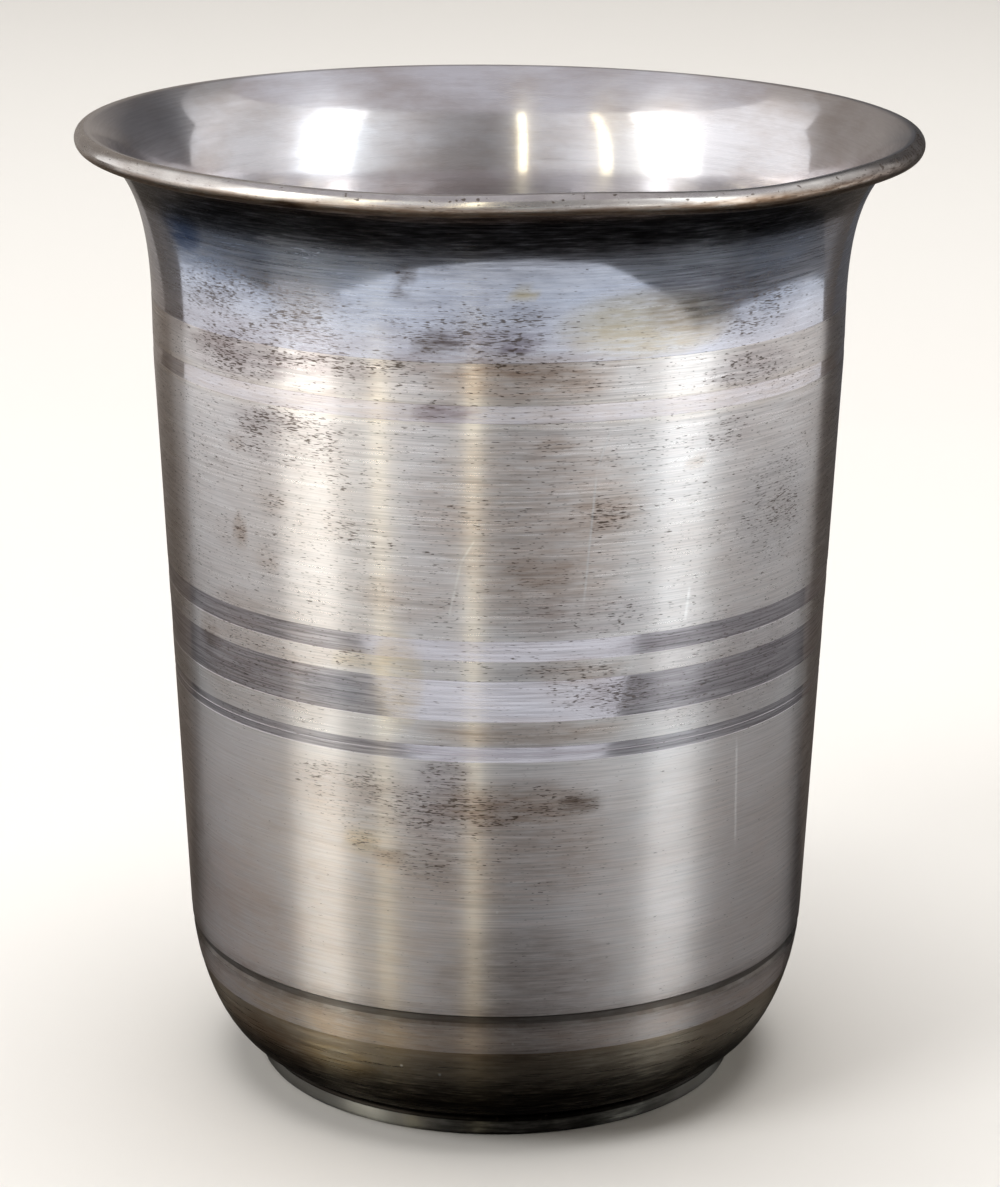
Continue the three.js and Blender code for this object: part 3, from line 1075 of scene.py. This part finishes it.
def glow_by_angle(material, stops):
    """A ramp of what stands at each angle round the axis."""
    tree = material.node_tree
    angle, _ = angle_and_height(tree)
    share = add(tree, "ShaderNodeMapRange", angle, -math.pi, math.pi)
    ramp = add(tree, "ShaderNodeValToRGB", share)
    elements = ramp.node.color_ramp.elements
    while len(elements) < len(stops):
        elements.new(0.5)
    for element, (degrees, *_) in zip(elements, stops):
        element.position = degrees / 360 + 0.5
    for element, (_, brightness, *light) in zip(elements, stops):
        colour = linear(LIGHT_COLOURS[light[0] if light else "room"])
        element.color = (*[brightness * c for c in colour[:3]], 1.0)
    return ramp


def glows(material, colour):
    """Sends a colour to the material's glow."""
    glow = next(node for node in material.node_tree.nodes if node.type == "EMISSION")
    material.node_tree.links.new(colour, glow.inputs["Color"])


TABLE_GLOW = (  # (angle in degrees, brightness of the far table, light other than the room's)
    (-180, 0.15),
    (-150, 0.3),
    (-125, 0.8),
    (-95, 1.35),
    (-60, 2.2, "sun"),
    (-45, 2.1, "sun"),
    (-38, 1.7, "sun"),
    (-28, 0.6),
    (5, 0.1),
    (20, 0.7),
    (32, 1.9, "daylight"),
    (65, 2.2, "daylight"),
    (85, 1.6),
    (110, 1.2),
    (130, 0.7),
    (180, 0.15),
)
TABLE_NEAR = linear("#DDE5EC")
TABLE_CHANGES = (0.22, 0.48)  # metres from the axis, from the near tone to the far one

table_top = stage_material("pale table top", "#FFFFFF")
far_glow = glow_by_angle(table_top, TABLE_GLOW)
tree = table_top.node_tree
where = add(tree, "ShaderNodeTexCoord", out="Object")
away = add(tree, "ShaderNodeVectorMath", where, operation="LENGTH", out="Value")
smooth = {"interpolation_type": "SMOOTHSTEP"}
far = add(tree, "ShaderNodeMapRange", away, *TABLE_CHANGES, **smooth)
glows(table_top, add(tree, "ShaderNodeMix", far, TABLE_NEAR, far_glow, data_type="RGBA"))
wide_card("table top", TABLE_AT, table_top)
print("the table changes its tone between", *TABLE_CHANGES, "metres from the axis")

# %% [markdown]
# The cloths are black velvet. The one under the cup ends a hand's width before it, and that edge
# is what the burnished bands show as a step between dark and light. A second lies behind the cup,
# where it catches more light, and a third hangs at the back, with its left side the lighter one.

# %% Three cloths
FRONT_EDGE = ((-205, -112), (-100, -111), (-50, -104), (60, -96), (100, -107), (228, -112))
FAR_EDGE = ((-REACH, 590), (-160, 106), (0, 20), (165, 112), (250, 200), (REACH, 1050))
HUNG_AT, HUNG_HALF, HUNG_HIGH = 250, 305, 300  # place on Y, half width and height
HUNG_CHANGES = (-0.03, 0.05)  # metres along X, from its lit side to its shaded side

cloth = stage_material("black velvet", "#1E1D1D")
far_cloth = stage_material("velvet behind", "#58524C")
hung = stage_material("hung velvet", "#FFFFFF")
tree = hung.node_tree
where = add(tree, "ShaderNodeTexCoord", out="Object")
across = add(tree, "ShaderNodeSeparateXYZ", where, out="X")
shade = add(tree, "ShaderNodeMapRange", across, *HUNG_CHANGES)
lit_side, shaded_side = linear("#96908A"), linear("#58585A")
glows(hung, add(tree, "ShaderNodeMix", shade, lit_side, shaded_side, data_type="RGBA"))

laid = (*FRONT_EDGE, (FRONT_EDGE[-1][0], REACH), (FRONT_EDGE[0][0], REACH))
card("cloth under the cup", [(x, y, LAID_AT) for x, y in laid], cloth)
behind = (*FAR_EDGE, (REACH, REACH), (-REACH, REACH))
card("cloth behind", [(x, y, BEHIND_AT) for x, y in behind], far_cloth)
corners = ((-HUNG_HALF, -1), (HUNG_HALF, -1), (HUNG_HALF, HUNG_HIGH), (-HUNG_HALF, HUNG_HIGH))
card("cloth hung up", [(x, HUNG_AT, z) for x, z in corners], hung)
print("the hung cloth is", 2 * HUNG_HALF, "mm wide and", HUNG_AT, "mm behind the axis")

# %% [markdown]
# The ring of reflectors is one turned wall round the set. It stands for the walls of a room, with
# a window on each side and two narrow lamps left of the front. Each of them is a rise and a fall
# of the ring's colour ramp, and gives the brushed wall one upright streak.

# %% The ring of reflectors
REFLECTORS = (  # (angle in degrees, brightness, light other than the room's)
    (-180, 0.35),
    (-145, 0.6),
    (-131, 1.1),
    (-120, 1.2),
    (-105, 1.2),
    (-88, 1.25),
    (-75, 1.4),
    (-71.5, 3.8, "sun"),
    (-55.5, 4.4, "sun"),
    (-51.5, 1.4, "sun"),
    (-40, 1),
    (-39, 4.4, "lamp"),
    (-37, 4.4, "lamp"),
    (-36, 1.2),
    (-20, 0.85),
    (-9.5, 0.8),
    (-8.5, 4.4, "lamp"),
    (-6.5, 4.4, "lamp"),
    (-5.5, 0.5),
    (5, 0.32),
    (20, 0.42),
    (35, 0.75),
    (53, 1.3, "daylight"),
    (55.5, 3.2, "daylight"),
    (69.5, 3.7, "daylight"),
    (73, 2.2, "daylight"),
    (80, 1.1),
    (90, 0.8),
    (105, 0.8),
    (118, 1),
    (131, 0.8),
    (150, 0.35),
)
RING_FADE = (0.08, 0.4, 1.12, 1.0)  # two heights in metres, and how bright the ring is there

reflector = stage_material("ring of reflectors", "#FFFFFF")
ring_glow = glow_by_angle(reflector, REFLECTORS)
tree = reflector.node_tree
where = add(tree, "ShaderNodeTexCoord", out="Object")
rise = add(tree, "ShaderNodeSeparateXYZ", where, out="Z")
fading = add(tree, "ShaderNodeMapRange", rise, *RING_FADE, **smooth)
glows(reflector, add(tree, "ShaderNodeVectorMath", ring_glow, operation="SCALE", Scale=fading))

wall_line = [Vector((REACH, -1)), Vector((REACH, STAGE_TOP))]
only_reflected(turn_piece("reflectors", wall_line, ["wall"], {"wall": reflector}))

# %% [markdown]
# ## Floor and light
#
# The floor is pale paper that curves up into a wall all round, so that it is plain from every
# side. It is lit from above by one large soft light and from the left by a smaller one, which
# gives the cup its soft shadow. Neither light is seen in the silver.

# %% Floor
paper = bpy.data.materials.new("pale paper")
paper.use_nodes = True
paper_shader = paper.node_tree.nodes["Principled BSDF"]
paper_shader.inputs["Base Color"].default_value = linear("#E6E4E0")
paper_shader.inputs["Roughness"].default_value = 0.9

SWEEP_START, SWEEP_RADIUS, SWEEP_STEPS = 1200, 700, 16  # in millimetres from the axis
WALL_HIGH = 1500

sweep_turns = [math.pi / 2 * (i / SWEEP_STEPS - 1) for i in range(SWEEP_STEPS + 1)]
sweep_centre = Vector((SWEEP_START, SWEEP_RADIUS))
sweep = [sweep_centre + turned_out(SWEEP_RADIUS, turn) for turn in sweep_turns]
floor_line = [Vector((0, 0)), *sweep, sweep[-1] + Vector((0, WALL_HIGH))]
floor = turn_piece("floor", floor_line, ["paper"] * (len(floor_line) - 1), {"paper": paper})
floor.visible_glossy = False


# %% Lights and world
def soft_light(name, place, size, power):
    """A round area light, size in metres and power in watts, that points at the cup's foot."""
    lamp = bpy.data.lights.new(name, "AREA")
    lamp.shape, lamp.size, lamp.energy = "DISK", size, power
    light = placed(name, lamp)
    light.location = place
    light.rotation_mode = "QUATERNION"
    light.rotation_quaternion = (-Vector(place)).to_track_quat("-Z", "Y")
    light.visible_glossy = light.visible_camera = False


soft_light("light above", (0.0, 0.1, 1.2), 1.1, 14.0)
soft_light("light from the left", (-0.7, -0.5, 0.9), 0.5, 5.0)

world = bpy.data.worlds.new("dim room")
world.use_nodes = True
world.node_tree.nodes["Background"].inputs["Color"].default_value = linear("#A29C98")
bpy.context.scene.world = world
bpy.context.scene.view_settings.view_transform = "Standard"
print("two soft lights and a dim world")
